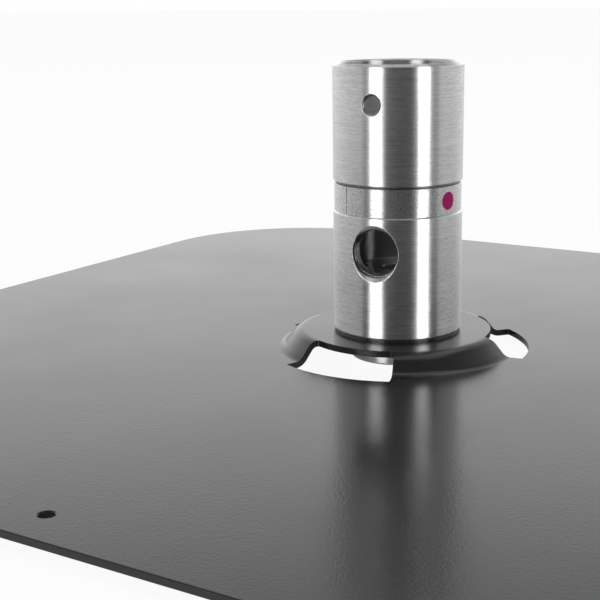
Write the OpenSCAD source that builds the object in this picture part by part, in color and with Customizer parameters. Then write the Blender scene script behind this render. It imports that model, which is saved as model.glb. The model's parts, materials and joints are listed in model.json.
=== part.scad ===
// Square steel stand base with a raised centre boss and a two-stage pole socket.
// Origin: centre of the base on the floor. +Z up, plate sides along X and Y.
// The side of the plate that faces -Y is called the front.

/* [Base plate] */
// Length of each side of the square plate
plate_side = 400; // [340:1:600]
// Thickness of the sheet with its coating
plate_t = 2.3; // [1.5:0.1:3.2]
// Radius of the four plate corners
plate_corner_r = 75; // [30:1:110]
// Rounding of the plate's outer edge, above and below
plate_edge_r = 0.5; // [0.2:0.1:0.7]
// Diameter of the hole in the middle of the front side
side_hole_d = 4.5; // [3:0.1:9]
// Chamfer at both rims of that hole
side_hole_rim = 0.4; // [0.1:0.1:0.7]
// Distance from the plate's edge to the middle of the side hole
side_hole_inset = 13; // [8:0.5:40]

/* [Raised boss] */
// Height of the boss above the plate
boss_h = 6.6; // [6:0.1:12]
// Radius of the flat top of the boss
boss_top_r = 34.4; // [31:0.1:44]
// Bend radius at the middle of the sheet, at the top and at the foot of the flank
boss_bend_r = 5; // [2.5:0.1:5.5]
// Slope of the straight part of the flank, from level
boss_slope = 50; // [45:1:60]
// Number of arc windows through the flank
window_count = 3; // [2:1:4]
// Angle that each window spans along its inner edge
window_angle = 54.2; // [20:0.1:64]
// Turn of a window's two straight ends inward from the radial direction
window_end_turn = 6.2; // [0:0.1:10]
// How far the flat top ends before a window begins
window_lip = 0.2; // [0.1:0.1:3]
// How far a window runs past the foot of the flank, out over the flat plate
window_apron = 4.1; // [1.5:0.1:14]
// Radius of the two corners at a window's outer edge
window_outer_corner = 0.6; // [0.4:0.1:3]
// Radius of the two corners at a window's inner edge
window_inner_corner = 1.5; // [0.4:0.1:3]

/* [Rubber feet] */
// Height of a foot, which lifts the plate off the floor
foot_h = 3; // [2.5:0.1:10]
// Diameter of a foot where it is stuck to the plate
foot_d = 32; // [15:0.5:50]
// How much smaller the radius is at the floor
foot_taper = 1.5; // [0:0.1:4]
// Distance from the plate's edges to the middle of a foot
foot_inset = 48; // [42:1:80]

/* [Tube] */
// Outer diameter of the lower body and the upper sleeve
tube_d = 47; // [46:0.5:60]
// Height of the lower body from its underside to the shoulder under the marking band
lower_h = 44; // [42.5:0.5:80]
// Thickness of the solid bottom of the lower body
floor_t = 21.9; // [16:0.1:24]
// Wall of the threaded neck, between its thread and the inner pole bore
neck_wall = 4.3; // [2.5:0.1:7]
// Rise of the sleeve in one turn of its thread
thread_pitch = 1.5; // [1:0.25:2.5]
// Turns of thread between the slip ring and the end of the neck
neck_turns = 6.4; // [4:0.1:9]
// Chamfer round the underside and the shoulder of the lower body
edge_chamfer = 0.5; // [0.2:0.1:1]

/* [Upper sleeve] */
// Height of the upper sleeve
sleeve_h = 42.2; // [36:0.1:80]
// Wall of the upper sleeve round the pole socket
socket_wall = 2.1; // [1.8:0.1:4]
// Chamfer round the outside of the sleeve's rim
rim_chamfer = 0.9; // [0.2:0.1:1]
// Chamfer round the inside of the sleeve's rim
mouth_chamfer = 0.6; // [0.2:0.1:0.9]

/* [Marking band] */
// Height of the band
band_h = 9.9; // [5:0.1:16]
// Thickness of the band's strip
band_t = 0.6; // [0.3:0.1:0.9]
// How far the band lies below the surface of the tube
band_recess = 0.4; // [0.1:0.1:0.6]
// Width of the slit where the strip's two ends meet
band_slit = 0.4; // [0.2:0.1:3]
// Turn of the slit from the middle of the front side
band_turn = -23.4; // [-180:0.1:180]

/* [Slip ring and seat washer] */
// Thickness of the slip ring between the neck's shoulder and the sleeve
ring_t = 0.6; // [0.3:0.1:2]
// How far the slip ring's edge lies below the surface of the tube
ring_recess = 0.7; // [0.5:0.05:0.8]
// Thickness of the washer between the lower body and the boss
washer_t = 0.8; // [0.4:0.1:3]
// How far the washer's edge lies below the surface of the tube
washer_recess = 0.8; // [0.5:0.1:3]

/* [Radial threaded holes] */
// Core diameter of the large threaded hole in the lower body
cross_hole_d = 17.3; // [10:0.1:17.6]
// Diameter of its countersink
cross_sink_d = 20.4; // [18:0.1:21]
// Height of its lowest point above the bottom of the inner pole bore
cross_hole_lift = 0.45; // [0:0.05:3]
// Turn of the large hole from the middle of the front side
cross_turn = 7.3; // [-180:0.1:180]
// Core diameter of the small threaded hole in the sleeve
lock_hole_d = 6.8; // [3:0.1:10]
// How much wider than its core the small hole's countersink is
lock_sink = 1.1; // [0.2:0.1:1.4]
// Depth of the small hole's middle below the sleeve's rim
lock_hole_drop = 13.7; // [8:0.1:22]
// Turn of the small hole from the middle of the front side
lock_turn = 5.1; // [-180:0.1:180]

/* [Fastening from below] */
// Diameter of the clamp disc under the boss
disc_d = 34.5; // [33.5:0.5:56]
// Height of the clamp disc above the floor
disc_lift = 1.7; // [0.5:0.1:2]
// Diameter of the countersunk bolt
bolt_d = 12; // [8:0.5:14]
// Diameter of the bolt's head
bolt_head_d = 24; // [20:0.5:25]
// How far the bolt's end stays below the bottom of the inner pole bore
bolt_end_gap = 2.65; // [0.5:0.05:8]
// Width across the flats of the socket in the bolt's head
bolt_key = 8; // [5:0.5:9]
// Depth of that socket
bolt_key_depth = 4.6; // [2:0.1:7]
// Diameter of a locating pin
pin_d = 4; // [2:0.5:5]
// Length of a locating pin
pin_len = 12; // [8:0.5:13]
// Distance from a locating pin to the middle of the base
pin_offset = 14; // [13.5:0.1:14.4]

/* [Clearances] */
// Radial clearance of the sleeve's thread on the neck
thread_gap = 0.05; // [0.02:0.01:0.1]
// Radial clearance of the slip ring on the neck and of the band in its groove
ring_gap = 0.1; // [0.05:0.05:0.2]
// Radial clearance of the bolt and the pins in their holes
bolt_gap = 0.05; // [0.02:0.01:0.2]
// End clearance between the neck and the sleeve's inner shoulder
neck_gap = 0.5; // [0.2:0.1:2]
// End clearance of a pin in its blind holes
pin_gap = 0.3; // [0.1:0.1:1]

/* [Hidden] */

$fn = 96;
front = -90;
// Straight runs that stand in for the boss's bends, a window's corners and the plate's edge
bend_steps = 10;
corner_steps = 4;
edge_steps = 3;
// How far a corner's last run is drawn out past the circle that cuts it
overshoot = 3;
// Step from the band's groove in to the neck's thread, and the chamfer at the neck's end
neck_step = 0.5;
neck_lead = 0.8;
// Straight edge of the bolt's head, and how far the countersink is wider than the head
head_land = 0.4;
sink_margin = 0.3;

// Heights above the floor
plate_top = foot_h + plate_t;
boss_under = foot_h + boss_h;
boss_top = plate_top + boss_h;
tube_z = boss_top + washer_t;
shoulder_z = lower_h;
ring_z = lower_h + band_h + ring_gap;
sleeve_z = ring_z + ring_t;
neck_top = sleeve_z + neck_turns * thread_pitch;
stop_z = neck_top + neck_gap;
rim_z = sleeve_z + sleeve_h;
cross_hole_z = floor_t + cross_hole_lift + cross_hole_d / 2;

// Radii
tube_r = tube_d / 2;
band_out_r = tube_r - band_recess;
band_in_r = band_out_r - band_t;
groove_r = band_in_r - ring_gap;
ring_out_r = tube_r - ring_recess;
neck_r = groove_r - neck_step;
bore_r = neck_r - neck_wall;
socket_r = tube_r - socket_wall;
thread_r = neck_r + thread_gap;

// The flank is two bends joined by a straight run
flank_run = (boss_h - 2 * boss_bend_r * (1 - cos(boss_slope))) / sin(boss_slope);
boss_foot_r = boss_top_r + 2 * boss_bend_r * sin(boss_slope) + flank_run * cos(boss_slope);
window_in_r = boss_top_r + window_lip;
window_out_r = boss_foot_r + window_apron;

// Clamp disc and bolt
disc_t = boss_under - disc_lift;
bolt_r = bolt_d / 2;
head_r = bolt_head_d / 2;
sink_r = head_r + head_land + sink_margin;
bolt_z = disc_lift + sink_margin - bolt_gap;
bolt_len = tube_z + floor_t - bolt_end_gap - bolt_z;
pin_z = boss_under - pin_len / 2 + (plate_t + washer_t) / 2;

// Points of an arc round [x, y], from angle a to angle b
function arc(x, y, r, a, b, steps) = [
    for (i = [0 : steps]) let (t = a + (b - a) * i / steps) [x + r * cos(t), y + r * sin(t)]
];

// One face of the pressed sheet from the middle of the boss to the flat plate.
// side is 1 for the upper face and -1 for the lower face.
function boss_face(side) = let (half = plate_t / 2, mid = foot_h + half) concat(
    [[0, mid + boss_h + side * half]],
    arc(boss_top_r, mid + boss_h - boss_bend_r, boss_bend_r + side * half, 90, 90 - boss_slope, bend_steps),
    arc(boss_foot_r, mid + boss_bend_r, boss_bend_r - side * half, 270 - boss_slope, 270, bend_steps),
    [[boss_foot_r + 1, mid + side * half]]
);

function reversed(list) = [for (i = [len(list) - 1 : -1 : 0]) list[i]];

module turned_about_front(angle) {
    rotate([0, 0, front + angle]) children();
}

// The rounded edge of the sheet, from its lower face out to x and back in to its upper face
function sheet_edge(x) = let (r = plate_edge_r) concat(
    arc(x - r, r, r, -90, 0, edge_steps), arc(x - r, plate_t - r, r, 0, 90, edge_steps)
);

// Flat square sheet with rounded corners and a rounded edge: two crossed bars and four corner discs
module sheet_blank() {
    inner = plate_side - 2 * plate_corner_r;
    edge = sheet_edge(plate_side / 2);
    for (turn = [0, 90]) rotate([90, 0, turn]) linear_extrude(height = inner, center = true)
        polygon(concat(edge, [for (p = reversed(edge)) [-p.x, p.y]]));
    for (x = [-1, 1], y = [-1, 1]) translate([x * inner / 2, y * inner / 2, 0])
        rotate_extrude() polygon(concat([[0, 0]], sheet_edge(plate_corner_r), [[0, plate_t]]));
}

// One window, centred on the X axis: a ring sector with rounded corners.
// Its ends are straight and turned inward from the radial direction.
module window_outline() {
    half_angle = window_angle / 2;
    end_angle = half_angle - window_end_turn;
    // Arc of a corner whose middle is at radius reach from the middle of the boss
    function corner(r, reach, from_ring) = let (
        off = r - window_in_r * sin(window_end_turn),
        along = sqrt(reach * reach - off * off),
        turn = end_angle - atan2(off, along),
        start = from_ring ? turn + 180 : end_angle + 90,
        end = from_ring ? end_angle + 90 : turn
    ) arc(reach * cos(turn), reach * sin(turn), r, start, end, corner_steps);
    inner = corner(window_inner_corner, window_in_r + window_inner_corner, true);
    outer = corner(window_outer_corner, window_out_r - window_outer_corner, false);
    // The runs that meet the two circles go on past them, so that the circles cut them
    past_inner = inner[1] + overshoot * (inner[0] - inner[1]);
    before_last = outer[corner_steps - 1];
    past_outer = before_last + overshoot * (outer[corner_steps] - before_last);
    intersection() {
        difference() {
            circle(window_out_r);
            circle(window_in_r);
        }
        for (s = [0, 1]) mirror([0, s]) polygon(concat(
            [[0, 0], past_inner], [for (i = [1 : corner_steps]) inner[i]],
            [for (i = [0 : corner_steps - 1]) outer[i]], [past_outer, [2 * window_out_r, 0]]
        ));
    }
}

module windows() {
    for (i = [0 : window_count - 1]) turned_about_front(i * 360 / window_count)
        linear_extrude(height = boss_top + 1) window_outline();
}

module side_hole() {
    rim_d = side_hole_d + 2 * side_hole_rim;
    turned_about_front(0) translate([plate_side / 2 - side_hole_inset, 0, 0]) {
        cylinder(h = plate_top + 1, d = side_hole_d);
        translate([0, 0, foot_h]) cylinder(h = side_hole_rim, d1 = rim_d, d2 = side_hole_d);
        translate([0, 0, plate_top - side_hole_rim])
            cylinder(h = side_hole_rim, d1 = side_hole_d, d2 = rim_d);
    }
}

module pin_holes(z, h) {
    for (s = [-1, 1]) translate([s * pin_offset, 0, z]) cylinder(h = h, r = pin_d / 2 + bolt_gap);
}

module bolt_hole(z, h) {
    translate([0, 0, z]) cylinder(h = h, r = bolt_r + bolt_gap);
}

// Pressed sheet with the boss, its windows and all its holes
module base_plate() {
    color([0.24, 0.24, 0.25]) difference() {
        union() {
            difference() {
                translate([0, 0, foot_h]) sheet_blank();
                cylinder(h = plate_top + 1, r = boss_foot_r);
            }
            rotate_extrude() polygon(concat(boss_face(1), reversed(boss_face(-1))));
        }
        windows();
        side_hole();
        bolt_hole(0, boss_top + 1);
        pin_holes(0, boss_top + 1);
    }
}

// Stuck-on rubber foot, slightly tapered
module foot(x, y) {
    reach = plate_side / 2 - foot_inset;
    top_r = foot_d / 2;
    color([0.06, 0.06, 0.06]) translate([x * reach, y * reach, 0])
        cylinder(h = foot_h, r1 = top_r - foot_taper, r2 = top_r);
}

// Turned disc that clamps the boss against the lower body
module clamp_disc() {
    r = disc_d / 2;
    c = edge_chamfer;
    color([0.72, 0.72, 0.72]) difference() {
        translate([0, 0, disc_lift]) rotate_extrude() polygon([
            [0, 0], [r - c, 0], [r, c], [r, disc_t - c], [r - c, disc_t], [0, disc_t]
        ]);
        bolt_hole(0, boss_under + 1);
        translate([0, 0, disc_lift]) cylinder(h = sink_r - bolt_r, r1 = sink_r, r2 = bolt_r);
        pin_holes(pin_z - pin_gap, pin_len);
    }
}

// Countersunk bolt with a hexagon socket, seated in the clamp disc
module base_bolt() {
    shank_z = head_r - bolt_r + head_land;
    color([0.55, 0.55, 0.55]) translate([0, 0, bolt_z]) difference() {
        rotate_extrude() polygon([
            [0, 0], [head_r, 0], [head_r, head_land], [bolt_r, shank_z],
            [bolt_r, bolt_len - 1], [bolt_r - 1, bolt_len], [0, bolt_len]
        ]);
        translate([0, 0, -1]) cylinder(h = bolt_key_depth + 1, d = bolt_key / cos(30), $fn = 6);
    }
}

// Dowel that keeps the lower body from turning on the plate
module locating_pin(side) {
    color([0.6, 0.6, 0.6]) translate([side * pin_offset, 0, pin_z]) cylinder(h = pin_len, d = pin_d);
}

// Thin dark washer between the lower body and the coated boss
module seat_washer() {
    color([0.08, 0.08, 0.08]) difference() {
        translate([0, 0, boss_top]) cylinder(h = washer_t, r = tube_r - washer_recess);
        bolt_hole(boss_top - 1, washer_t + 2);
        pin_holes(boss_top - 1, washer_t + 2);
    }
}

// Radial hole with a countersink, along +X, in a wall whose outside is at tube_r
module radial_hole(d, sink_d) {
    sink = (sink_d - d) / 2;
    rotate([0, 90, 0]) {
        cylinder(h = tube_r + 1, d = d);
        translate([0, 0, tube_r - sink]) cylinder(h = sink + 1, d1 = d, d2 = sink_d + 2);
    }
}

// Turned body: solid bottom, inner pole bore, band groove and threaded neck
module lower_body() {
    c = edge_chamfer;
    color([0.75, 0.75, 0.75]) translate([0, 0, tube_z]) difference() {
        rotate_extrude() polygon([
            [0, 0], [tube_r - c, 0], [tube_r, c], [tube_r, shoulder_z - c], [tube_r - c, shoulder_z],
            [groove_r, shoulder_z], [groove_r, ring_z], [neck_r, ring_z], [neck_r, neck_top - neck_lead],
            [neck_r - neck_lead, neck_top], [bore_r + neck_lead, neck_top], [bore_r, neck_top - neck_lead],
            [bore_r, floor_t], [0, floor_t]
        ]);
        turned_about_front(cross_turn) translate([0, 0, cross_hole_z])
            radial_hole(cross_hole_d, cross_sink_d);
        bolt_hole(-1, floor_t + 2);
        pin_holes(-1, pin_z + pin_len + pin_gap - tube_z + 1);
    }
}

// Strip rolled into an open ring and sprung into the groove
module marking_band() {
    color([0.8, 0.8, 0.8]) translate([0, 0, tube_z + shoulder_z]) difference() {
        cylinder(h = band_h, r = band_out_r);
        translate([0, 0, -1]) cylinder(h = band_h + 2, r = band_in_r);
        turned_about_front(band_turn) translate([groove_r / 2, -band_slit / 2, -1])
            cube([tube_r, band_slit, band_h + 2]);
    }
}

// Dark ring that the sleeve turns against
module slip_ring() {
    color([0.08, 0.08, 0.08]) translate([0, 0, tube_z + ring_z]) difference() {
        cylinder(h = ring_t, r = ring_out_r);
        translate([0, 0, -1]) cylinder(h = ring_t + 2, r = neck_r + ring_gap);
    }
}

// Sleeve that screws onto the neck and holds the outer pole
module upper_sleeve() {
    c = edge_chamfer;
    color([0.78, 0.78, 0.78]) translate([0, 0, tube_z]) difference() {
        rotate_extrude() polygon([
            [thread_r, sleeve_z], [tube_r - c, sleeve_z], [tube_r, sleeve_z + c],
            [tube_r, rim_z - rim_chamfer], [tube_r - rim_chamfer, rim_z],
            [socket_r + mouth_chamfer, rim_z], [socket_r, rim_z - mouth_chamfer],
            [socket_r, stop_z], [thread_r, stop_z]
        ]);
        turned_about_front(lock_turn) translate([0, 0, rim_z - lock_hole_drop])
            radial_hole(lock_hole_d, lock_hole_d + lock_sink);
    }
}

base_plate();
foot(-1, -1);  // foot_front_left
foot(1, -1);  // foot_front_right
foot(-1, 1);  // foot_rear_left
foot(1, 1);  // foot_rear_right
clamp_disc();
base_bolt();
locating_pin(-1);  // locating_pin_left
locating_pin(1);  // locating_pin_right
seat_washer();
lower_body();
marking_band();
slip_ring();
upper_sleeve();
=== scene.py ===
"""Looks for a square stand base with a turned pole socket.

The file is laid out as an add-on and is run as a script. Every size is in metres and in the
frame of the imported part: the base stands on z = 0, and the socket's axis is the Z axis.
"""

import json
import math

import bmesh
import bpy
from bpy.props import (
    FloatProperty,
    FloatVectorProperty,
    IntProperty,
    PointerProperty,
)
from mathutils import Matrix, Vector


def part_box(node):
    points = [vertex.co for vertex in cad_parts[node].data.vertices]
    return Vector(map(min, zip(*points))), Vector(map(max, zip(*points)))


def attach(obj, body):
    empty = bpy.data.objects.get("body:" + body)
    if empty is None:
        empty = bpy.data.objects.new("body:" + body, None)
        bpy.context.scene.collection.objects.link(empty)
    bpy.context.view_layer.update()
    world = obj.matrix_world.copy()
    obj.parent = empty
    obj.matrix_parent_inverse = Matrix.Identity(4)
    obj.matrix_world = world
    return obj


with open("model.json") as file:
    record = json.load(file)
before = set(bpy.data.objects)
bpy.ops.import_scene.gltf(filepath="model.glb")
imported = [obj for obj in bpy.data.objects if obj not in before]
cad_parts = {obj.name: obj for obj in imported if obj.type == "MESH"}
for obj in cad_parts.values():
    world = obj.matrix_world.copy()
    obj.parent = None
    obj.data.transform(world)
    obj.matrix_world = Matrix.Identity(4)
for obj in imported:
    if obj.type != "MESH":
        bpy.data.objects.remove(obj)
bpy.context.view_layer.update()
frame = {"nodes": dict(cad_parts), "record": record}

bl_info = {
    "name": "Stand Base Looks",
    "version": (1, 0, 0),
    "blender": (4, 5, 0),
    "location": "View3D > Sidebar > Stand Base",
    "description": "Finishes, threads and studio for a square stand base with a pole socket",
    "category": "Object",
}

MOUNTS = {mount["name"]: mount for mount in frame["record"]["mounts"]}
CLAMP_HOLE = MOUNTS["clamp_screw_thread"]
LOCK_HOLE = MOUNTS["pole_lock_thread"]
NECK_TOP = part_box("lower_body")[1][2]
SLEEVE_LOW, SLEEVE_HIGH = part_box("upper_sleeve")
BAND_LOW, BAND_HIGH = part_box("marking_band")
MM = 0.001

# Walls nearer to the axis than these, and lower than these heights, are inside the bores
# Their colour is painted light: darker in the lower body's bore, lighter in the sleeve's
BORE_MARGIN = 0.0003
BRIGHT_RIM = 0.003
SLEEVE_BORE = (MOUNTS["pole_socket"]["dims"]["r_mm"] * MM + BORE_MARGIN,
               SLEEVE_HIGH[2] - BRIGHT_RIM)
BODY_BORE = (MOUNTS["inner_pole_bore"]["dims"]["r_mm"] * MM + BORE_MARGIN, NECK_TOP)
# Painted light: below its height a bore's colour goes over to its painted level within this
# length
BORE_FADE = 0.008  # how far below its height a bore takes on its own level
# A hole's wall is painted darker as shade: how far beyond its radius it still counts, fully
# and not at all
HOLE_MARGINS = (0.0001, 0.0003)
# How far behind its mount's middle a hole's wall begins, so that the tube's far side stays out
HOLE_BACK = (-0.008, -0.006)

# Edges: how far the turned ones are rounded, and how near to an edge its wear shows, which on
# turned metal is a painted highlight
EDGE_ROUNDING = 0.0003
WEAR_AND_GLINT_REACH = 0.0004
BEVEL_SAMPLES = 6
# Cosines of the angle between a face and its rounded normal: none of the edge mark, and all of
# it
WEAR_AND_GLINT_COSINES = (0.999, 0.86)
CHIP_RANGE = (0.35, 0.65)  # the chips' noise: least wear, and most
LEAST_WEAR_AND_GLINT = 0.55
# Painted highlight: turned metal is made lighter along its edges, for the glints that its
# edges catch
PAINTED_EDGE_HIGHLIGHT = 1.6  # the colour of turned metal is times this on its edges

# Where nearly all values of a noise texture lie
NOISE_RANGE = (0.3, 0.7)
WIDE_NOISE_RANGE = (0.25, 0.75)
CLOUD_SHARE = 0.35  # how much the mottling shows
CLOUD_TONE = 0.8  # how dark it is, as a share of the contrast
ROUGHNESS_SWING = 0.05  # how far the roughness of turned metal varies
# The dashes among the turning marks: their rows and their stretch in the noise
DASH_ROW = 3.7
DASH_STRETCH = 7.0

# The ridge of a thread: half its width at the root and at the crest, in shares of the pitch
ROOT_HALF = 0.42
CREST_HALF = 0.10
FULL_HEIGHTS_PER_TURN = 6.0  # it reaches its full height in a sixth of a turn
RIDGE_CORNERS = 5
RIDGE_SINK = 0.00005  # how deep its root is sunk in the wall
PLAIN_END = 0.0008  # plain wall that is left at the end of a thread
SHORT_PLAIN_END = 0.0003  # the same in the thin wall of the sleeve
WELD_DISTANCE = 0.000001

DOT_SINK = 0.0001  # how deep the dot's back lies in the band
DOT_RINGS = 6
DOT_STEPS = 48

SENSOR_WIDTH = 36  # in millimetres
CLIP_RANGE = (0.01, 100)
FLOOR_LEVEL = -0.0001  # just under the feet
LAMP_AIM = (0, 0, 0.06)
# What reflections see round the room: turns in degrees from the camera's own place, and levels
ROOM_WALLS = (
    (-180, 1.0), (-150, 1.0), (-128, 0.85), (-101, 0.76), (-78, 0.71), (-70, 0.62),
    (-66, 0.05), (-50, 0.06), (0, 0.09), (50, 0.06), (66, 0.05), (71, 0.06), (73, 0.70),
    (120, 0.74), (150, 1.0), (180, 1.0),
)
# How those levels go down with the height of the direction: heights from 0 to 1, and shares
ROOM_HEIGHTS = (
    (0.0, 1.0), (0.33, 1.0), (0.44, 0.72), (0.60, 0.45), (0.80, 0.22), (1.0, 0.15),
)
ROOM_BRIGHTEST = 1.46
# What the upper part of the room shows at least, all round
ROOM_CEILING = (
    (0.0, 0.0), (0.28, 0.02), (0.50, 0.28), (0.75, 0.22), (0.90, 0.08), (1.0, 0.08),
)


# ---------------------------------------------------------------- settings


class StageSettings(bpy.types.PropertyGroup):
    """The camera, the floor and the soft lights."""

    camera_place: FloatVectorProperty(
        name="Camera Place", description="Where the camera stands",
        default=(0.21665, -0.40272, 0.13195), size=3, subtype="XYZ", unit="LENGTH")
    camera_heading: FloatProperty(
        name="Heading", description="Compass direction of the view, from the X axis",
        default=math.radians(122.633), subtype="ANGLE", unit="ROTATION")
    camera_pitch: FloatProperty(
        name="Pitch", description="How far the camera looks down",
        default=math.radians(13.350), subtype="ANGLE", unit="ROTATION")
    camera_roll: FloatProperty(
        name="Roll", description="How far the camera's right side is tilted down",
        default=math.radians(0.801), subtype="ANGLE", unit="ROTATION")
    camera_lens: FloatProperty(
        name="Lens", description="Focal length on a sensor 36 mm wide",
        default=75.578, min=10, max=300, unit="CAMERA")
    shift_x: FloatProperty(
        name="Shift X", description="Sideways shift of the picture", default=-0.00662)
    shift_y: FloatProperty(
        name="Shift Y", description="Upward shift of the picture", default=-0.00525)
    floor_colour: FloatVectorProperty(
        name="Floor Colour", description="Colour of the pale floor",
        default=(0.86, 0.86, 0.86), size=3, subtype="COLOR", min=0, max=1)
    floor_lift: FloatProperty(
        name="Floor Lift", description="Share of plain white on the floor for the camera",
        default=0.94, min=0, max=1)
    floor_shine: FloatProperty(
        name="Floor Shine", description="Share of plain white on the floor for reflections",
        default=0.20, min=0, max=1)
    floor_side: FloatProperty(
        name="Floor Side", description="Side of the floor", default=24.0, min=1,
        unit="LENGTH")
    fill: FloatProperty(
        name="Fill", description="Strength of the light from all round", default=0.48,
        min=0, max=2)
    box_distance: FloatProperty(
        name="Softbox Distance", description="From the socket to each softbox",
        default=1.6, min=0.5, unit="LENGTH")
    box_width: FloatProperty(
        name="Softbox Width", description="Width of the softboxes", default=0.65, min=0.1,
        unit="LENGTH")
    box_height: FloatProperty(
        name="Softbox Height", description="Height of the softboxes", default=0.28, min=0.1,
        unit="LENGTH")
    box_centre: FloatProperty(
        name="Softbox Centre", description="How high the middle of each softbox hangs",
        default=0.15, unit="LENGTH")
    box_power: FloatProperty(
        name="Softbox Power", description="Power of each softbox", default=9.0, min=0,
        unit="POWER")
    left_turn: FloatProperty(
        name="Left Softbox", description="Turn of the left softbox from the camera",
        default=math.radians(-42.0), subtype="ANGLE", unit="ROTATION")
    right_turn: FloatProperty(
        name="Right Softbox", description="Turn of the right softbox from the camera",
        default=math.radians(40.2), subtype="ANGLE", unit="ROTATION")
    top_power: FloatProperty(
        name="Top Light Power", description="Power of the wide light overhead", default=15.0,
        min=0, unit="POWER")
    top_back: FloatProperty(
        name="Top Light Back", description="How far behind the object the top light hangs",
        default=0.45, unit="LENGTH")
    top_height: FloatProperty(
        name="Top Light Height", description="How high the top light hangs", default=2.2,
        min=0.5, unit="LENGTH")
    top_side: FloatProperty(
        name="Top Light Side", description="Side of the square top light", default=2.4,
        min=0.1, unit="LENGTH")
    card_distance: FloatProperty(
        name="Dark Card Distance", description="From the socket to the dark card before it",
        default=0.25, min=0.1, unit="LENGTH")
    card_width: FloatProperty(
        name="Dark Card Width", description="Width of the dark card", default=0.29, min=0.01,
        unit="LENGTH")
    card_height: FloatProperty(
        name="Dark Card Height", description="Height of the dark card", default=0.12,
        min=0.01, unit="LENGTH")
    card_level: FloatProperty(
        name="Dark Card Level", description="How bright the dark card is in reflections",
        default=0.13, min=0, max=1)


class CoatSettings(bpy.types.PropertyGroup):
    """The powder coat on the plate."""

    colour: FloatVectorProperty(
        name="Coat Colour", description="Colour of the powder coat",
        default=(0.0105, 0.0108, 0.0115), size=3, subtype="COLOR", min=0, max=1)
    cell: FloatProperty(
        name="Peel Cell", description="Width of one dimple of the orange peel",
        default=0.0008, min=0.0002, unit="LENGTH")
    depth: FloatProperty(
        name="Peel Depth", description="Depth of the orange peel", default=0.000032, min=0,
        unit="LENGTH")
    roughness: FloatProperty(
        name="Roughness", description="Roughness of the coat", default=0.20, min=0, max=1)


class MetalSettings(bpy.types.PropertyGroup):
    """The turned metal of the socket."""

    colour: FloatVectorProperty(
        name="Metal Colour", description="Colour of the turned metal",
        default=(0.62, 0.62, 0.625), size=3, subtype="COLOR", min=0, max=1)
    roughness: FloatProperty(
        name="Roughness", description="Roughness of the turned metal", default=0.33, min=0,
        max=1)
    streak: FloatProperty(
        name="Streak Width", description="Width of one turning mark", default=0.0003,
        min=0.0001, unit="LENGTH")
    depth: FloatProperty(
        name="Streak Depth", description="Depth of the turning marks", default=0.000003, min=0,
        unit="LENGTH")
    band_colour: FloatVectorProperty(
        name="Band Colour", description="Colour of the blasted band",
        default=(0.88, 0.88, 0.885), size=3, subtype="COLOR", min=0, max=1)
    steel_colour: FloatVectorProperty(
        name="Steel Colour", description="Colour of the bolt and the pins",
        default=(0.55, 0.55, 0.56), size=3, subtype="COLOR", min=0, max=1)


class TrimSettings(bpy.types.PropertyGroup):
    """The dark washers, the feet and the dot on the band."""

    plastic_colour: FloatVectorProperty(
        name="Washer Colour", description="Colour of the slip ring and the seat washer",
        default=(0.012, 0.012, 0.013), size=3, subtype="COLOR", min=0, max=1)
    rubber_colour: FloatVectorProperty(
        name="Rubber Colour", description="Colour of the feet",
        default=(0.020, 0.020, 0.020), size=3, subtype="COLOR", min=0, max=1)
    dot_colour: FloatVectorProperty(
        name="Dot Colour", description="Colour of the plain dot on the band",
        default=(0.30, 0.004, 0.092), size=3, subtype="COLOR", min=0, max=1)
    dot_diameter: FloatProperty(
        name="Dot Diameter", description="Diameter of the dot", default=0.0064, min=0.001,
        unit="LENGTH")
    dot_turn: FloatProperty(
        name="Dot Turn", description="Where the dot is round the band, from the X axis",
        default=math.radians(-11.2), subtype="ANGLE", unit="ROTATION")
    dot_height: FloatProperty(
        name="Dot Height", description="Height of the dot's centre",
        default=(BAND_LOW[2] + BAND_HIGH[2]) / 2, unit="LENGTH")
    dot_thickness: FloatProperty(
        name="Dot Thickness", description="How far the print stands on the band",
        default=0.00003, min=0, unit="LENGTH")


class ThreadSettings(bpy.types.PropertyGroup):
    """The threads in the holes and on the neck."""

    clamp_pitch: FloatProperty(
        name="Clamp Pitch", description="Pitch of the thread in the large hole",
        default=0.0015, min=0.0002, unit="LENGTH")
    clamp_depth: FloatProperty(
        name="Clamp Depth", description="Height of the thread in the large hole",
        default=0.0005, min=0, unit="LENGTH")
    lock_pitch: FloatProperty(
        name="Lock Pitch", description="Pitch of the thread in the small hole",
        default=0.00125, min=0.0002, unit="LENGTH")
    lock_depth: FloatProperty(
        name="Lock Depth", description="Height of the thread in the small hole",
        default=0.0003, min=0, unit="LENGTH")
    neck_pitch: FloatProperty(
        name="Neck Pitch", description="Rise of the sleeve for each turn", default=0.0015,
        min=0.0002, unit="LENGTH")
    neck_depth: FloatProperty(
        name="Neck Depth", description="Height of the thread on the neck and in the sleeve",
        default=0.00055, min=0, unit="LENGTH")
    neck_radius: FloatProperty(
        name="Neck Radius", description="Radius of the neck under its thread", default=0.0219,
        min=0.001, unit="LENGTH")
    bore_radius: FloatProperty(
        name="Bore Radius", description="Radius of the sleeve's bore under its thread",
        default=0.02195, min=0.001, unit="LENGTH")
    steps: IntProperty(
        name="Steps", description="Steps in one turn of a thread", default=72, min=12, max=200)


# ---------------------------------------------------------------- node helpers


def add(tree, kind, values=(), **settings):
    """A node with its settings; each input named is linked to an output or set to a value."""
    node = tree.nodes.new(kind)
    for name, value in settings.items():
        setattr(node, name, value)
    for name, value in dict(values).items():
        if isinstance(value, bpy.types.NodeSocket):
            tree.links.new(value, node.inputs[name])
        else:
            node.inputs[name].default_value = value
    return node


def calculated(tree, operation, first, second=None):
    """The output of a Math node on outputs of other nodes, or on numbers."""
    values = {0: first} if second is None else {0: first, 1: second}
    return add(tree, "ShaderNodeMath", values, operation=operation).outputs[0]


def vector_math(tree, operation, values, output="Vector"):
    """The Vector or the Value output of a Vector Math node."""
    return add(tree, "ShaderNodeVectorMath", values, operation=operation).outputs[output]


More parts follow.
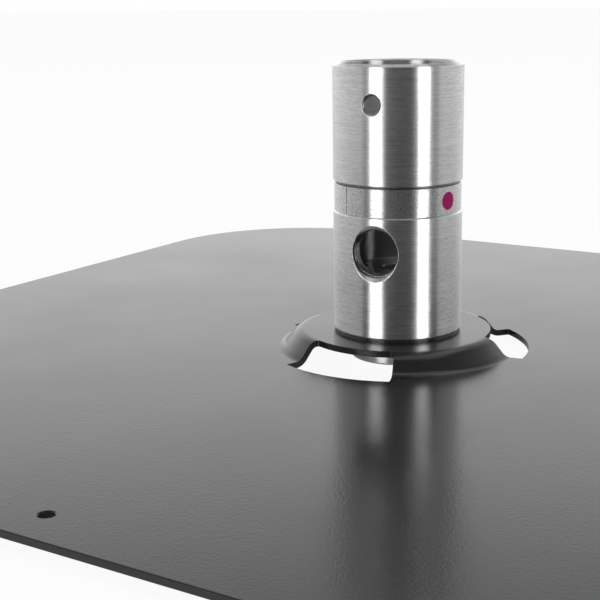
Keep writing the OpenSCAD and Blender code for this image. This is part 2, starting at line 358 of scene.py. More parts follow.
def spread(tree, source, low, high, lowest=0.0, highest=1.0):
    """An output carried from one range to another, and held in it."""
    return add(tree, "ShaderNodeMapRange", {
        "Value": source, "From Min": low, "From Max": high, "To Min": lowest,
        "To Max": highest}).outputs["Result"]


def stepped(tree, source, stops):
    """A level read off a ramp of (position, level) stops."""
    ramp = add(tree, "ShaderNodeValToRGB", {"Fac": source})
    elements = ramp.color_ramp.elements
    elements.remove(elements[1])
    for index, (spot, level) in enumerate(stops):
        stop = elements[0] if index == 0 else elements.new(spot)
        stop.position = spot
        stop.color = (level, level, level, 1)
    return ramp.outputs["Color"]


def cleared(owner):
    """The emptied node tree of a material or a world."""
    owner.use_nodes = True
    owner.node_tree.nodes.clear()
    return owner.node_tree


def new_group(name, entries, exits):
    """A shader group and the outputs of its input node.

    The group's inputs are given as (name, kind, default) and its outputs as (name, kind).
    """
    group = bpy.data.node_groups.new(name, "ShaderNodeTree")
    for label, kind, default in entries:
        socket = group.interface.new_socket(name=label, in_out="INPUT", socket_type=kind)
        if default is not None:
            socket.default_value = default
    for label, kind in exits:
        group.interface.new_socket(name=label, in_out="OUTPUT", socket_type=kind)
    return group, group.nodes.new("NodeGroupInput").outputs


def grain_group():
    """Fine dimples and soft mottling: orange peel, blasting, rubber skin."""
    name = "surface_grain"
    if name in bpy.data.node_groups:
        return bpy.data.node_groups[name]
    group, entry = new_group(
        name,
        [("Cell", "NodeSocketFloat", 0.001), ("Depth", "NodeSocketFloat", 0.00002),
         ("Mottle Size", "NodeSocketFloat", 0.05)],
        [("Mask", "NodeSocketFloat"), ("Mottle", "NodeSocketFloat"),
         ("Normal", "NodeSocketVector")])
    place = add(group, "ShaderNodeTexCoord").outputs["Object"]
    dimples = add(group, "ShaderNodeTexNoise", {
        "Vector": place, "Scale": calculated(group, "DIVIDE", 1, entry["Cell"]),
        "Detail": 1.5, "Roughness": 0.45})
    clouds = add(group, "ShaderNodeTexNoise", {
        "Vector": place, "Scale": calculated(group, "DIVIDE", 1, entry["Mottle Size"]),
        "Detail": 3.0, "Roughness": 0.55})
    bump = add(group, "ShaderNodeBump", {
        "Strength": 1.0, "Distance": entry["Depth"], "Height": dimples.outputs["Fac"]})
    add(group, "NodeGroupOutput", {
        "Mask": dimples.outputs["Fac"], "Mottle": clouds.outputs["Fac"],
        "Normal": bump.outputs["Normal"]})
    return group


def turning_group():
    """Fine marks that run round the Z axis, on walls and on end faces."""
    name = "turning_marks"
    if name in bpy.data.node_groups:
        return bpy.data.node_groups[name]
    group, entry = new_group(
        name,
        [("Width", "NodeSocketFloat", 0.0005), ("Depth", "NodeSocketFloat", 0.000002),
         ("Lengthwise", "NodeSocketFloat", 7.0)],
        [("Mask", "NodeSocketFloat"), ("Reach", "NodeSocketFloat"),
         ("Height", "NodeSocketFloat"), ("Normal", "NodeSocketVector")])
    place = add(group, "ShaderNodeTexCoord")
    parts = add(group, "ShaderNodeSeparateXYZ", {"Vector": place.outputs["Object"]}).outputs
    flat = add(group, "ShaderNodeCombineXYZ", {"X": parts["X"], "Y": parts["Y"]}).outputs[0]
    reach = vector_math(group, "LENGTH", {0: flat}, "Value")
    # Height and reach together count the lines up a wall and across an end face.
    climb = calculated(group, "ADD", parts["Z"], reach)
    lines = calculated(group, "DIVIDE", climb, entry["Width"])
    unit = vector_math(group, "NORMALIZE", {0: flat})
    round_way = vector_math(group, "SCALE", {0: unit, "Scale": entry["Lengthwise"]})
    spot = add(group, "ShaderNodeSeparateXYZ", {"Vector": round_way}).outputs
    streak_spot = add(group, "ShaderNodeCombineXYZ", {
        "X": spot["X"], "Y": spot["Y"], "Z": lines})
    streaks = add(group, "ShaderNodeTexNoise", {
        "Vector": streak_spot.outputs[0], "Scale": 1.0, "Detail": 1.5,
        "Roughness": 0.6}).outputs["Fac"]
    # Short dashes: each line has a row of its own in the noise, so that they run dead level.
    row = calculated(group, "MULTIPLY", calculated(group, "FLOOR", lines), DASH_ROW)
    level = add(group, "ShaderNodeCombineXYZ", {"Z": row}).outputs[0]
    shorter = vector_math(group, "SCALE", {0: round_way, "Scale": DASH_STRETCH})
    dashes = add(group, "ShaderNodeTexNoise", {
        "Vector": vector_math(group, "ADD", {0: shorter, 1: level}), "Scale": 1.0,
        "Detail": 1.0}).outputs["Fac"]
    marks = calculated(group, "MULTIPLY", calculated(group, "ADD", streaks, dashes), 0.5)
    soft = add(group, "ShaderNodeBevel", {"Radius": EDGE_ROUNDING}, samples=BEVEL_SAMPLES)
    bump = add(group, "ShaderNodeBump", {
        "Strength": 1.0, "Normal": soft.outputs["Normal"], "Distance": entry["Depth"],
        "Height": streaks})
    add(group, "NodeGroupOutput", {
        "Mask": marks, "Reach": reach, "Height": parts["Z"],
        "Normal": bump.outputs["Normal"]})
    return group


def edge_group():
    """A mask that is 1 along sharp edges, broken up by small chips: wear on coat, plastic and
    rubber, and a painted highlight on turned metal.
    """
    name = "edge_wear"
    if name in bpy.data.node_groups:
        return bpy.data.node_groups[name]
    group, entry = new_group(
        name,
        [("Amount", "NodeSocketFloat", 0.5), ("Chip Size", "NodeSocketFloat", 0.002)],
        [("Mask", "NodeSocketFloat")])
    place = add(group, "ShaderNodeTexCoord")
    soft = add(group, "ShaderNodeBevel", {"Radius": WEAR_AND_GLINT_REACH}, samples=BEVEL_SAMPLES)
    flat = add(group, "ShaderNodeNewGeometry")
    facing = vector_math(group, "DOT_PRODUCT", {
        0: soft.outputs["Normal"], 1: flat.outputs["Normal"]}, "Value")
    edge = spread(group, facing, *WEAR_AND_GLINT_COSINES)
    chips = add(group, "ShaderNodeTexNoise", {
        "Vector": place.outputs["Object"],
        "Scale": calculated(group, "DIVIDE", 1, entry["Chip Size"]),
        "Detail": 4.0, "Roughness": 0.6})
    broken = spread(group, chips.outputs["Fac"], *CHIP_RANGE, lowest=LEAST_WEAR_AND_GLINT)
    mask = calculated(group, "MULTIPLY", edge, broken)
    mask = calculated(group, "MULTIPLY", mask, entry["Amount"])
    add(group, "NodeGroupOutput", {"Mask": mask})
    return group


def hole_group():
    """A mask that is 1 on the wall of a radial hole."""
    name = "hole_wall"
    if name in bpy.data.node_groups:
        return bpy.data.node_groups[name]
    group, entry = new_group(
        name,
        [("Place", "NodeSocketVector", None), ("Axis", "NodeSocketVector", None),
         ("Radius", "NodeSocketFloat", 0.005)],
        [("Mask", "NodeSocketFloat")])
    spot = add(group, "ShaderNodeTexCoord").outputs["Object"]
    from_place = vector_math(group, "SUBTRACT", {0: spot, 1: entry["Place"]})
    across = vector_math(group, "CROSS_PRODUCT", {0: from_place, 1: entry["Axis"]})
    away = vector_math(group, "LENGTH", {0: across}, "Value")
    beyond = calculated(group, "SUBTRACT", away, entry["Radius"])
    inside = spread(group, beyond, *HOLE_MARGINS, lowest=1.0, highest=0.0)
    ahead = vector_math(group, "DOT_PRODUCT", {0: from_place, 1: entry["Axis"]}, "Value")
    this_side = spread(group, ahead, *HOLE_BACK)
    add(group, "NodeGroupOutput", {"Mask": calculated(group, "MULTIPLY", inside, this_side)})
    return group


def placed(tree, group, values):
    """A group in a material, with its values."""
    return add(tree, "ShaderNodeGroup", values, node_tree=group)


def blended(tree, mask, first, second):
    """A colour that goes from the first to the second by a mask."""
    colours = {}
    for entry, colour in ((6, first), (7, second)):
        plain = not isinstance(colour, bpy.types.NodeSocket)
        colours[entry] = (*colour, 1) if plain else colour
    return add(tree, "ShaderNodeMix", {"Factor": mask, **colours},
               data_type="RGBA").outputs[2]


def scaled(tree, mask, colour, factor):
    """A colour times a factor where a mask is 1."""
    share = spread(tree, mask, 0.0, 1.0, 1.0, factor)
    return vector_math(tree, "SCALE", {0: colour, "Scale": share})


def shade(colour, factor):
    """A plain colour made lighter or darker."""
    return tuple(min(1.0, part * factor) for part in colour)


def grained_material(name, colour, cell, depth, roughness, spread_by, mottle=0.05,
                     contrast=0.12, wear_and_glint=0.3, worn=2.0, ior=1.5, specular=0.5):
    """Powder coat, plastic, rubber or ink: dimples, mottling and paler edges."""
    material = bpy.data.materials.new(name)
    tree = cleared(material)
    grain = placed(tree, grain_group(), {"Cell": cell, "Depth": depth, "Mottle Size": mottle})
    edges = placed(tree, edge_group(), {"Amount": wear_and_glint, "Chip Size": 0.002})
    speck = spread(tree, grain.outputs["Mask"], *NOISE_RANGE)
    base = blended(tree, speck, shade(colour, 1 - contrast), shade(colour, 1 + contrast))
    cloudy = spread(tree, grain.outputs["Mottle"], *NOISE_RANGE, highest=CLOUD_SHARE)
    base = blended(tree, cloudy, base, shade(colour, 1 - CLOUD_TONE * contrast))
    base = blended(tree, edges.outputs["Mask"], base, shade(colour, worn))
    rough = spread(tree, grain.outputs["Mottle"], *NOISE_RANGE, roughness - spread_by,
                   roughness + spread_by)
    shader = add(tree, "ShaderNodeBsdfPrincipled", {
        "Base Color": base, "Roughness": rough, "Normal": grain.outputs["Normal"],
        "IOR": ior, "Specular IOR Level": specular})
    add(tree, "ShaderNodeOutputMaterial", {"Surface": shader.outputs["BSDF"]})
    return material


def turned_material(name, colour, width, depth, roughness, anisotropy, contrast=0.06,
                    lengthwise=1.2, wear_and_glint=1.0, bore=None, painted_bore_light=1.0, hole=None,
                    painted_hole_shade=1.0):
    """Metal turned on a lathe: marks round the axis, painted highlights on the edges, a bore
    and a hole.

    The bore and the hole's wall are the colour times a level of their own, as painted light:
    the lower body's bore and both hole walls darker, the sleeve's bore lighter.
    """
    material = bpy.data.materials.new(name)
    tree = cleared(material)
    marks = placed(tree, turning_group(),
                   {"Width": width, "Depth": depth, "Lengthwise": lengthwise})
    edges = placed(tree, edge_group(), {"Amount": wear_and_glint, "Chip Size": 0.0015})
    line = spread(tree, marks.outputs["Mask"], *NOISE_RANGE)
    base = blended(tree, line, shade(colour, 1 - contrast), shade(colour, 1 + contrast))
    # Painted light in the bore: darker in the lower body, lighter in the sleeve
    if bore:
        radius, height = bore
        near = spread(tree, marks.outputs["Reach"], radius, radius + BORE_MARGIN, 1.0, 0.0)
        deep = spread(tree, marks.outputs["Height"], height - BORE_FADE, height, 1.0, 0.0)
        base = scaled(tree, calculated(tree, "MULTIPLY", near, deep), base, painted_bore_light)
    # Painted shade on the hole's wall
    if hole:
        wall = placed(tree, hole_group(), {
            "Place": hole["pos_m"], "Axis": hole["axis"],
            "Radius": hole["dims"]["r_mm"] * MM})
        base = scaled(tree, wall.outputs["Mask"], base, painted_hole_shade)
    # Painted highlight along the edges
    base = blended(tree, edges.outputs["Mask"], base, shade(colour, PAINTED_EDGE_HIGHLIGHT))
    rough = spread(tree, marks.outputs["Mask"], *WIDE_NOISE_RANGE,
                   roughness - ROUGHNESS_SWING, roughness + ROUGHNESS_SWING)
    round_way = add(tree, "ShaderNodeTangent", direction_type="RADIAL", axis="Z")
    shader = add(tree, "ShaderNodeBsdfPrincipled", {
        "Base Color": base, "Roughness": rough, "Metallic": 1.0,
        "Normal": marks.outputs["Normal"], "Tangent": round_way.outputs["Tangent"],
        "Anisotropic": anisotropy, "Anisotropic Rotation": 0.25})
    add(tree, "ShaderNodeOutputMaterial", {"Surface": shader.outputs["BSDF"]})
    return material


def dress(node_name, material):
    """Gives a CAD node its material."""
    mesh = frame["nodes"][node_name].data
    mesh.materials.clear()
    mesh.materials.append(material)


def new_object(name, data):
    """An object for a mesh, a lamp or a camera, put in the scene."""
    thing = bpy.data.objects.new(name, data)
    bpy.context.scene.collection.objects.link(thing)
    return thing


def spot_at(turn, reach, height=0.0):
    """A place by its turn round the Z axis, its distance from that axis and its height."""
    return Vector((reach * math.cos(turn), reach * math.sin(turn), height))


# ---------------------------------------------------------------- threads


def thread_tree():
    """Geometry Nodes for one thread: a ridge wound on a helix, thin at both ends."""
    name = "wound_thread"
    if name in bpy.data.node_groups:
        return bpy.data.node_groups[name]
    tree = bpy.data.node_groups.new(name, "GeometryNodeTree")
    for label, in_out, kind, default in (
            ("Geometry", "INPUT", "NodeSocketGeometry", None),
            ("Root Radius", "INPUT", "NodeSocketFloat", 0.01),
            ("Crest Radius", "INPUT", "NodeSocketFloat", 0.009),
            ("Pitch", "INPUT", "NodeSocketFloat", 0.0015),
            ("Turns", "INPUT", "NodeSocketFloat", 4.0),
            ("Steps", "INPUT", "NodeSocketInt", 72),
            ("Material", "INPUT", "NodeSocketMaterial", None),
            ("Geometry", "OUTPUT", "NodeSocketGeometry", None)):
        socket = tree.interface.new_socket(name=label, in_out=in_out, socket_type=kind)
        if default is not None:
            socket.default_value = default
    entry = tree.nodes.new("NodeGroupInput").outputs
    root, crest, pitch, turns = (
        entry[label] for label in ("Root Radius", "Crest Radius", "Pitch", "Turns"))

    def math_node(operation, first, second=None):
        """The result of a math node in this tree."""
        return calculated(tree, operation, first, second)

    def next_to(middle):
        """1 for the two corners on either side of a half number, and 0 for the others."""
        away = math_node("ABSOLUTE", math_node("SUBTRACT", corner, middle))
        return math_node("LESS_THAN", away, 1.0)

    count = math_node("ROUND", math_node("MULTIPLY", entry["Steps"], turns))
    # One column of corners for each step: 0 root low, 1 crest low, 2 crest high, 3 root high,
    # and 4 root low again, which is merged with 0 and closes the loop.
    grid = add(tree, "GeometryNodeMeshGrid", {
        "Size X": 1, "Size Y": 1, "Vertices X": count, "Vertices Y": RIDGE_CORNERS})
    index = tree.nodes.new("GeometryNodeInputIndex").outputs[0]
    step = math_node("FLOOR", math_node("DIVIDE", index, RIDGE_CORNERS))
    corner = math_node("MODULO", index, RIDGE_CORNERS)
    on_crest = next_to(1.5)
    side = math_node("SUBTRACT", math_node("MULTIPLY", next_to(2.5), 2.0), 1.0)
    share = math_node("DIVIDE", step, math_node("SUBTRACT", count, 1.0))
    wound = math_node("MULTIPLY", share, turns)
    angle = math_node("MULTIPLY", wound, math.tau)
    nearness = math_node("MINIMUM", share, math_node("SUBTRACT", 1.0, share))
    grown = math_node("MULTIPLY", math_node("MULTIPLY", nearness, turns),
                      FULL_HEIGHTS_PER_TURN)
    taper = math_node("MINIMUM", grown, 1.0)
    depth = math_node("MULTIPLY", math_node("SUBTRACT", crest, root), taper)
    radius = math_node("ADD", root, math_node("MULTIPLY", depth, on_crest))
    half = math_node("SUBTRACT", ROOT_HALF,
                     math_node("MULTIPLY", on_crest, ROOT_HALF - CREST_HALF))
    rise = math_node("ADD", math_node("MULTIPLY", wound, pitch),
                     math_node("MULTIPLY", math_node("MULTIPLY", half, side), pitch))
    spot = add(tree, "ShaderNodeCombineXYZ", {
        "X": math_node("MULTIPLY", radius, math_node("COSINE", angle)),
        "Y": math_node("MULTIPLY", radius, math_node("SINE", angle)), "Z": rise})
    move = add(tree, "GeometryNodeSetPosition", {
        "Geometry": grid.outputs["Mesh"], "Position": spot.outputs[0]})
    merge = add(tree, "GeometryNodeMergeByDistance", {
        "Geometry": move.outputs[0], "Distance": WELD_DISTANCE})
    real = add(tree, "GeometryNodeRealizeInstances", {"Geometry": merge.outputs[0]})
    paint = add(tree, "GeometryNodeSetMaterial", {
        "Geometry": real.outputs[0], "Material": entry["Material"]})
    add(tree, "NodeGroupOutput", {"Geometry": paint.outputs[0]})
    return tree


def wind_thread(name, values, place, material):
    """One thread as a plain mesh: made by the node tree, baked, then put in its place."""
    tree = thread_tree()
    holder = new_object(name + "_maker", bpy.data.meshes.new(name + "_maker"))
    modifier = holder.modifiers.new("thread", "NODES")
    modifier.node_group = tree
    named = {item.name: item.identifier for item in tree.interface.items_tree
             if item.in_out == "INPUT"}
    for label, value in values.items():
        modifier[named[label]] = value
    modifier[named["Material"]] = material
    bpy.context.view_layer.update()
    graph = bpy.context.evaluated_depsgraph_get()
    mesh = bpy.data.meshes.new_from_object(holder.evaluated_get(graph))
    holder.modifiers.remove(modifier)
    bpy.data.objects.remove(holder)
    mesh.name = name
    shape = bmesh.new()
    shape.from_mesh(mesh)
    ends = [edge for edge in shape.edges if edge.is_boundary]
    if ends:
        bmesh.ops.holes_fill(shape, edges=ends, sides=0)
    shape.transform(place)
    bmesh.ops.recalc_face_normals(shape, faces=shape.faces)
    shape.to_mesh(mesh)
    shape.free()
    if not mesh.polygons:
        raise RuntimeError(name + " came out empty")
    return new_object(name, mesh)


def along(axis, start):
    """A matrix that stands the Z axis along a hole's axis, from a point on it."""
    turn = Vector((0, 0, 1)).rotation_difference(Vector(axis)).to_matrix().to_4x4()
    return Matrix.Translation(Vector(start)) @ turn


# ---------------------------------------------------------------- pieces


class STANDBASE_OT_plate(bpy.types.Operator):
    """Gives the pressed plate its powder coat"""

    bl_idname = "standbase.plate"
    bl_label = "Coat Plate"

    def execute(self, context):
        coat = context.scene.standbase_coat
        dress("base_plate", grained_material(
            "powder_coat", tuple(coat.colour), cell=coat.cell, depth=coat.depth,
            roughness=coat.roughness, spread_by=0.03, mottle=0.06, contrast=0.15, wear_and_glint=0.12,
            worn=2.2))
        return {"FINISHED"}


class STANDBASE_OT_feet(bpy.types.Operator):
    """Gives the four feet their rubber"""

    bl_idname = "standbase.feet"
    bl_label = "Finish Feet"

    def execute(self, context):
        trim = context.scene.standbase_trim
        rubber = grained_material(
            "foot_rubber", tuple(trim.rubber_colour), cell=0.0006, depth=0.00002,
            roughness=0.72, spread_by=0.08, mottle=0.01, contrast=0.2, wear_and_glint=0.4, worn=1.8)
        for corner in ("front_left", "front_right", "rear_left", "rear_right"):
            dress("foot_" + corner, rubber)
        return {"FINISHED"}


class STANDBASE_OT_socket(bpy.types.Operator):
    """Gives the lower body, the sleeve and the clamp disc their turned metal"""

    bl_idname = "standbase.socket"
    bl_label = "Turn Socket Metal"

    def execute(self, context):
        metal = context.scene.standbase_metal
        colour = tuple(metal.colour)
        turned = {"width": metal.streak, "depth": metal.depth, "roughness": metal.roughness}
        # Painted light: the sleeve's bore lighter; the body's bore and both hole walls darker
        # as shade
        dress("upper_sleeve", turned_material(
            "turned_sleeve", colour, **turned, anisotropy=0.94, contrast=0.23,
            bore=SLEEVE_BORE, painted_bore_light=1.3, hole=LOCK_HOLE, painted_hole_shade=0.18))
        # Painted light: the lower body is the sleeve's metal made 6 % lighter, to offset the
        # dark plate that it reflects
        dress("lower_body", turned_material(
            "turned_body", shade(colour, 1.06), **turned, anisotropy=0.94, contrast=0.23,
            bore=BODY_BORE, painted_bore_light=0.62, hole=CLAMP_HOLE, painted_hole_shade=0.10))
        dress("clamp_disc", turned_material(
            "turned_disc", colour, **turned, anisotropy=0.9))
        return {"FINISHED"}


class STANDBASE_OT_band(bpy.types.Operator):
    """Gives the band its blasted metal, and the two dark rings their plastic"""

    bl_idname = "standbase.band"
    bl_label = "Finish Band and Rings"

    def execute(self, context):
        metal = context.scene.standbase_metal
        trim = context.scene.standbase_trim
        dress("marking_band", turned_material(
            "band_metal", tuple(metal.band_colour), width=0.0005, depth=metal.depth,
            roughness=metal.roughness + 0.02, anisotropy=1.0, contrast=0.70,
            lengthwise=45.0))
        plastic = grained_material(
            "dark_plastic", tuple(trim.plastic_colour), cell=0.0004, depth=0.000004,
            roughness=0.16, spread_by=0.05, mottle=0.01, contrast=0.2, wear_and_glint=0.3, worn=1.8,
            ior=1.9)
        for name in ("slip_ring", "seat_washer"):
            dress(name, plastic)
        return {"FINISHED"}


class STANDBASE_OT_fasteners(bpy.types.Operator):
    """Gives the base bolt and the two pins their steel"""

    bl_idname = "standbase.fasteners"
    bl_label = "Finish Bolt and Pins"

    def execute(self, context):
        metal = context.scene.standbase_metal
        steel = turned_material(
            "fastener_steel", tuple(metal.steel_colour), width=0.0003, depth=0.000002,
            roughness=0.38, anisotropy=0.4, contrast=0.12, lengthwise=3.0, wear_and_glint=0.6)
        for name in ("base_bolt", "locating_pin_left", "locating_pin_right"):
            dress(name, steel)
        return {"FINISHED"}


class STANDBASE_OT_threads(bpy.types.Operator):
    """Winds the threads of the two holes, of the neck and of the sleeve"""

    bl_idname = "standbase.threads"
    bl_label = "Wind Threads"

    def execute(self, context):
        threads = context.scene.standbase_threads
        body_metal = bpy.data.materials["turned_body"]
        sleeve_metal = bpy.data.materials["turned_sleeve"]

        def in_hole(name, mount, pitch, depth, body, metal, plain_end):
            """The thread of one radial hole, over the length of its mount."""
            radius = mount["dims"]["r_mm"] * MM
            length = mount["dims"]["length_mm"] * MM - 2 * plain_end
            start = Vector(mount["pos_m"]) - Vector(mount["axis"]) * length / 2
            piece = wind_thread(name, {
                "Root Radius": radius + RIDGE_SINK, "Crest Radius": radius - depth,
                "Pitch": pitch, "Turns": length / pitch, "Steps": threads.steps},
                along(mount["axis"], start), metal)
            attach(piece, body)

        in_hole("clamp_hole_thread", CLAMP_HOLE, threads.clamp_pitch, threads.clamp_depth,
                "base", body_metal, PLAIN_END)
        in_hole("lock_hole_thread", LOCK_HOLE, threads.lock_pitch, threads.lock_depth,
                "sleeve", sleeve_metal, SHORT_PLAIN_END)

        # The sleeve's thread starts half a turn higher, so both are half a turn shorter.
        foot = SLEEVE_LOW[2] + PLAIN_END
        turns = (NECK_TOP - PLAIN_END - foot) / threads.neck_pitch - 0.5
        neck = wind_thread("neck_thread", {
            "Root Radius": threads.neck_radius - RIDGE_SINK,
            "Crest Radius": threads.neck_radius + threads.neck_depth,
            "Pitch": threads.neck_pitch, "Turns": turns, "Steps": threads.steps},
            Matrix.Translation((0, 0, foot)), body_metal)
        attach(neck, "base")
        bore = wind_thread("sleeve_thread", {
            "Root Radius": threads.bore_radius + RIDGE_SINK,
            "Crest Radius": threads.bore_radius - threads.neck_depth,
            "Pitch": threads.neck_pitch, "Turns": turns, "Steps": threads.steps},
            Matrix.Translation((0, 0, foot + threads.neck_pitch / 2)), sleeve_metal)
        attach(bore, "sleeve")
        return {"FINISHED"}


def dot_mesh(trim):
    """A thin round disc wrapped on the band: two layers of rings, joined at the rim."""
    shape = bmesh.new()
    layers = []
    for lift in (-DOT_SINK, trim.dot_thickness):
        centre = shape.verts.new((0, 0, lift))
        rows = []
        for ring in range(1, DOT_RINGS + 1):
            reach = trim.dot_diameter / 2 * ring / DOT_RINGS
            rows.append([shape.verts.new(spot_at(math.tau * step / DOT_STEPS, reach, lift))
                         for step in range(DOT_STEPS)])
        layers.append((centre, rows))
    pairs = [(step, (step + 1) % DOT_STEPS) for step in range(DOT_STEPS)]
    for centre, rows in layers:
        for step, after in pairs:
            shape.faces.new((centre, rows[0][step], rows[0][after]))
            for inner, outer in zip(rows, rows[1:]):
                shape.faces.new((inner[step], outer[step], outer[after], inner[after]))
    low, high = layers[0][1][-1], layers[1][1][-1]
    for step, after in pairs:
        shape.faces.new((low[step], low[after], high[after], high[step]))
    # On the flat disc x runs round the band, y runs up it and z stands off its wall.
    band_radius = BAND_HIGH[0]
    for vert in shape.verts:
        across, up, lift = vert.co
        vert.co = spot_at(trim.dot_turn + across / band_radius, band_radius + lift,
                          trim.dot_height + up)
    bmesh.ops.recalc_face_normals(shape, faces=shape.faces)
    mesh = bpy.data.meshes.new("band_dot")
    shape.to_mesh(mesh)
    shape.free()
    return mesh


class STANDBASE_OT_dot(bpy.types.Operator):
    """Prints a plain round dot on the band"""

    bl_idname = "standbase.dot"
    bl_label = "Print Dot"

    def execute(self, context):
        trim = context.scene.standbase_trim
        ink = grained_material(
            "dot_ink", tuple(trim.dot_colour), cell=0.0003, depth=0.000004, roughness=0.42,
            spread_by=0.04, mottle=0.004, contrast=0.08, wear_and_glint=0.0, specular=0.12)
        mesh = dot_mesh(trim)
        mesh.materials.append(ink)
        piece = new_object("band_dot", mesh)
        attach(piece, "base")
        return {"FINISHED"}


# ---------------------------------------------------------------- stage


def camera_axes(stage):
    """The camera's right, up and backward directions."""
    forward = spot_at(stage.camera_heading, math.cos(stage.camera_pitch),
                      -math.sin(stage.camera_pitch))
    right = forward.cross(Vector((0, 0, 1))).normalized()
    upward = right.cross(forward)
    tilt = stage.camera_roll
    leaning = right * math.cos(tilt) - upward * math.sin(tilt)
    upright = right * math.sin(tilt) + upward * math.cos(tilt)
    return leaning, upright, -forward


def add_camera(stage):
    """The camera at the place that the photo was taken from."""
    camera = bpy.data.cameras.new("photo_camera")
    camera.lens = stage.camera_lens
    camera.sensor_width = SENSOR_WIDTH
    camera.shift_x = stage.shift_x
    camera.shift_y = stage.shift_y
    camera.clip_start, camera.clip_end = CLIP_RANGE
    holder = new_object("photo_camera", camera)
    turn = Matrix(camera_axes(stage)).transposed().to_4x4()
    holder.matrix_world = Matrix.Translation(stage.camera_place) @ turn
    bpy.context.scene.camera = holder


def add_lamp(name, place, width, height, power):
    """A soft rectangular light that the camera doesn't see, aimed at the socket."""
    lamp = bpy.data.lights.new(name, "AREA")
    lamp.shape = "RECTANGLE"
    lamp.size = width
    lamp.size_y = height
    lamp.energy = power
    holder = new_object(name, lamp)
    turn = (Vector(LAMP_AIM) - place).to_track_quat("-Z", "Y").to_matrix().to_4x4()
    holder.matrix_world = Matrix.Translation(place) @ turn
    holder.visible_camera = False


def add_lights(stage, back):
    """Two softboxes beside the camera and one wide light overhead."""
    for name, turn in (("softbox_left", stage.left_turn),
                       ("softbox_right", stage.right_turn)):
        place = spot_at(back + turn, stage.box_distance, stage.box_centre)
        add_lamp(name, place, stage.box_width, stage.box_height, stage.box_power)
    place = spot_at(stage.camera_heading, stage.top_back, stage.top_height)
    add_lamp("top_light", place, stage.top_side, stage.top_side, stage.top_power)


def floor_material(stage):
    """Matt pale floor that keeps the object's shadow."""
    material = bpy.data.materials.new("pale_floor")
    tree = cleared(material)
    matt = add(tree, "ShaderNodeBsdfDiffuse", {"Color": (*stage.floor_colour, 1)})
    glow = add(tree, "ShaderNodeEmission", {"Color": (1, 1, 1, 1)})
    path = tree.nodes.new("ShaderNodeLightPath").outputs
    seen = calculated(tree, "MULTIPLY", path["Is Camera Ray"], stage.floor_lift)
    mirrored = calculated(tree, "MAXIMUM", path["Is Glossy Ray"], path["Is Transmission Ray"])
    mirrored = calculated(tree, "MULTIPLY", mirrored, stage.floor_shine)
    both = add(tree, "ShaderNodeMixShader", {
        "Fac": calculated(tree, "MAXIMUM", seen, mirrored), 1: matt.outputs[0],
        2: glow.outputs[0]})
    # A camera under the floor looks through it, so that the underside can be seen.
    side = tree.nodes.new("ShaderNodeNewGeometry").outputs
    below = calculated(tree, "MULTIPLY", side["Backfacing"], path["Is Camera Ray"])
    clear = tree.nodes.new("ShaderNodeBsdfTransparent")
    shown = add(tree, "ShaderNodeMixShader", {
        "Fac": below, 1: both.outputs[0], 2: clear.outputs[0]})
    add(tree, "ShaderNodeOutputMaterial", {"Surface": shown.outputs[0]})
    return material


def add_floor(stage):
    """The floor, just under the feet."""
    half = stage.floor_side / 2
    corners = ((-half, -half), (half, -half), (half, half), (-half, half))
    mesh = bpy.data.meshes.new("floor")
    mesh.from_pydata([(x, y, FLOOR_LEVEL) for x, y in corners], [], [(0, 1, 2, 3)])
    mesh.materials.append(floor_material(stage))
    floor = new_object("floor", mesh)


def studio_world(stage, back):
    """A white room for the camera, with a darker wall behind the camera in reflections."""
    world = bpy.data.worlds.new("studio")
    bpy.context.scene.world = world
    tree = cleared(world)
    way = tree.nodes.new("ShaderNodeTexCoord").outputs["Generated"]
    # The turn of a direction from the one that points back at the camera, in whole turns:
    # 0.5 is that direction, less is to its left and more is to its right.
    facing, aside = (
        vector_math(tree, "DOT_PRODUCT", {0: way, 1: spot_at(turn, 1.0)}, "Value")
        for turn in (back, back + math.pi / 2))
    turn = calculated(tree, "ARCTAN2", aside, facing)
    turn = calculated(tree, "ADD", calculated(tree, "DIVIDE", turn, math.tau), 0.5)
    height = add(tree, "ShaderNodeSeparateXYZ", {"Vector": way}).outputs["Z"]
    walls = stepped(tree, turn, [(0.5 + angle / 360, level) for angle, level in ROOM_WALLS])
    level = calculated(tree, "MULTIPLY", walls, stepped(tree, height, ROOM_HEIGHTS))
    level = calculated(tree, "MULTIPLY", level, ROOM_BRIGHTEST)
    level = calculated(tree, "MAXIMUM", level, stepped(tree, height, ROOM_CEILING))
    path = tree.nodes.new("ShaderNodeLightPath").outputs
    level = blended(tree, path["Is Diffuse Ray"], level, (stage.fill,) * 3)
    seen = calculated(tree, "MAXIMUM", path["Is Camera Ray"], path["Is Transmission Ray"])
    level = blended(tree, seen, level, (1, 1, 1))
    room = add(tree, "ShaderNodeBackground", {"Color": level})
    add(tree, "ShaderNodeOutputWorld", {"Surface": room.outputs[0]})


def add_dark_card(stage, back):
    """A dark card before the object, which only reflections see."""
    away = spot_at(back, stage.card_distance)
    side = spot_at(back + math.pi / 2, stage.card_width / 2)
    up = Vector((0, 0, stage.card_height))
    mesh = bpy.data.meshes.new("dark_card")
    mesh.from_pydata([away - side, away + side, away + side + up, away - side + up],
                     [], [(0, 1, 2, 3)])
    material = bpy.data.materials.new("dark_card")
    tree = cleared(material)
    level = stage.card_level
    glow = add(tree, "ShaderNodeEmission", {"Color": (level, level, level, 1)})
    add(tree, "ShaderNodeOutputMaterial", {"Surface": glow.outputs[0]})
    mesh.materials.append(material)
    card = new_object("dark_card", mesh)
    card.visible_camera = False
    card.visible_diffuse = False
    card.visible_transmission = False
    card.visible_shadow = False


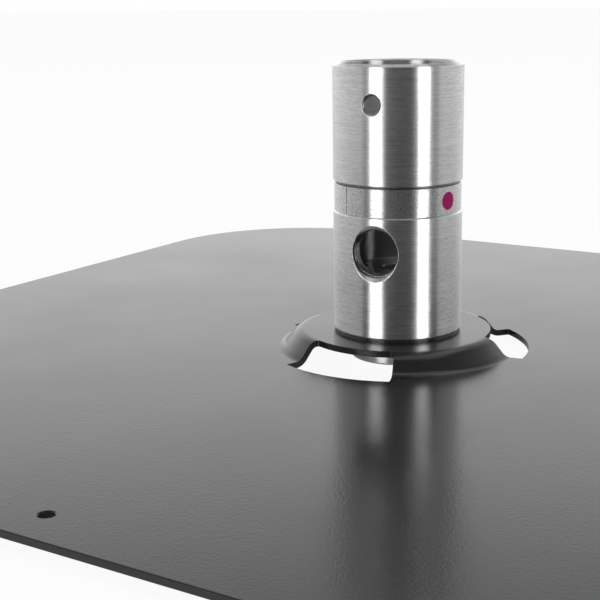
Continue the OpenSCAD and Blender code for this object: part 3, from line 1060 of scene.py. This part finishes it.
class STANDBASE_OT_stage(bpy.types.Operator):
    """Sets the floor, the lights, the world and the camera"""

    bl_idname = "standbase.stage"
    bl_label = "Set Stage"

    def execute(self, context):
        context.scene.view_settings.view_transform = "Standard"
        stage = context.scene.standbase_stage
        back = stage.camera_heading + math.pi  # the way from the object back to the camera
        add_camera(stage)
        add_floor(stage)
        studio_world(stage, back)
        add_lights(stage, back)
        add_dark_card(stage, back)
        return {"FINISHED"}


# ---------------------------------------------------------------- panel and run


class STANDBASE_PT_panel(bpy.types.Panel):
    """Sizes, colours and steps of the stand base"""

    bl_idname = "STANDBASE_PT_panel"
    bl_label = "Stand Base"
    bl_space_type = "VIEW_3D"
    bl_region_type = "UI"
    bl_category = "Stand Base"

    def draw(self, context):
        layout = self.layout
        for label, name, steps in GROUPS:
            box = layout.box()
            box.label(text=label)
            settings = getattr(context.scene, name)
            for key in settings.__annotations__:
                box.prop(settings, key)
            for step in steps:
                box.operator(step)


GROUPS = (
    ("Plate", "standbase_coat", ("standbase.plate",)),
    ("Socket", "standbase_metal", ("standbase.socket", "standbase.fasteners")),
    ("Rings, Feet and Dot", "standbase_trim",
     ("standbase.band", "standbase.feet", "standbase.dot")),
    ("Threads", "standbase_threads", ("standbase.threads",)),
    ("Stage", "standbase_stage", ("standbase.stage",)),
)

SETTINGS = {
    "standbase_stage": StageSettings,
    "standbase_coat": CoatSettings,
    "standbase_metal": MetalSettings,
    "standbase_trim": TrimSettings,
    "standbase_threads": ThreadSettings,
}

CLASSES = (
    *SETTINGS.values(),
    STANDBASE_OT_plate,
    STANDBASE_OT_feet,
    STANDBASE_OT_socket,
    STANDBASE_OT_band,
    STANDBASE_OT_fasteners,
    STANDBASE_OT_threads,
    STANDBASE_OT_dot,
    STANDBASE_OT_stage,
    STANDBASE_PT_panel,
)


def register():
    """Adds the classes, and their settings to the scene."""
    for item in CLASSES:
        bpy.utils.register_class(item)
    for name, item in SETTINGS.items():
        setattr(bpy.types.Scene, name, PointerProperty(type=item))


def unregister():
    """Takes the settings and the classes away again."""
    for name in SETTINGS:
        delattr(bpy.types.Scene, name)
    for item in reversed(CLASSES):
        bpy.utils.unregister_class(item)


def main():
    """Sets the stage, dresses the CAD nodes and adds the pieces."""
    register()
    bpy.ops.standbase.stage()
    bpy.ops.standbase.plate()
    bpy.ops.standbase.feet()
    bpy.ops.standbase.socket()
    bpy.ops.standbase.band()
    bpy.ops.standbase.fasteners()
    bpy.ops.standbase.threads()
    bpy.ops.standbase.dot()


if __name__ == "__main__":
    main()
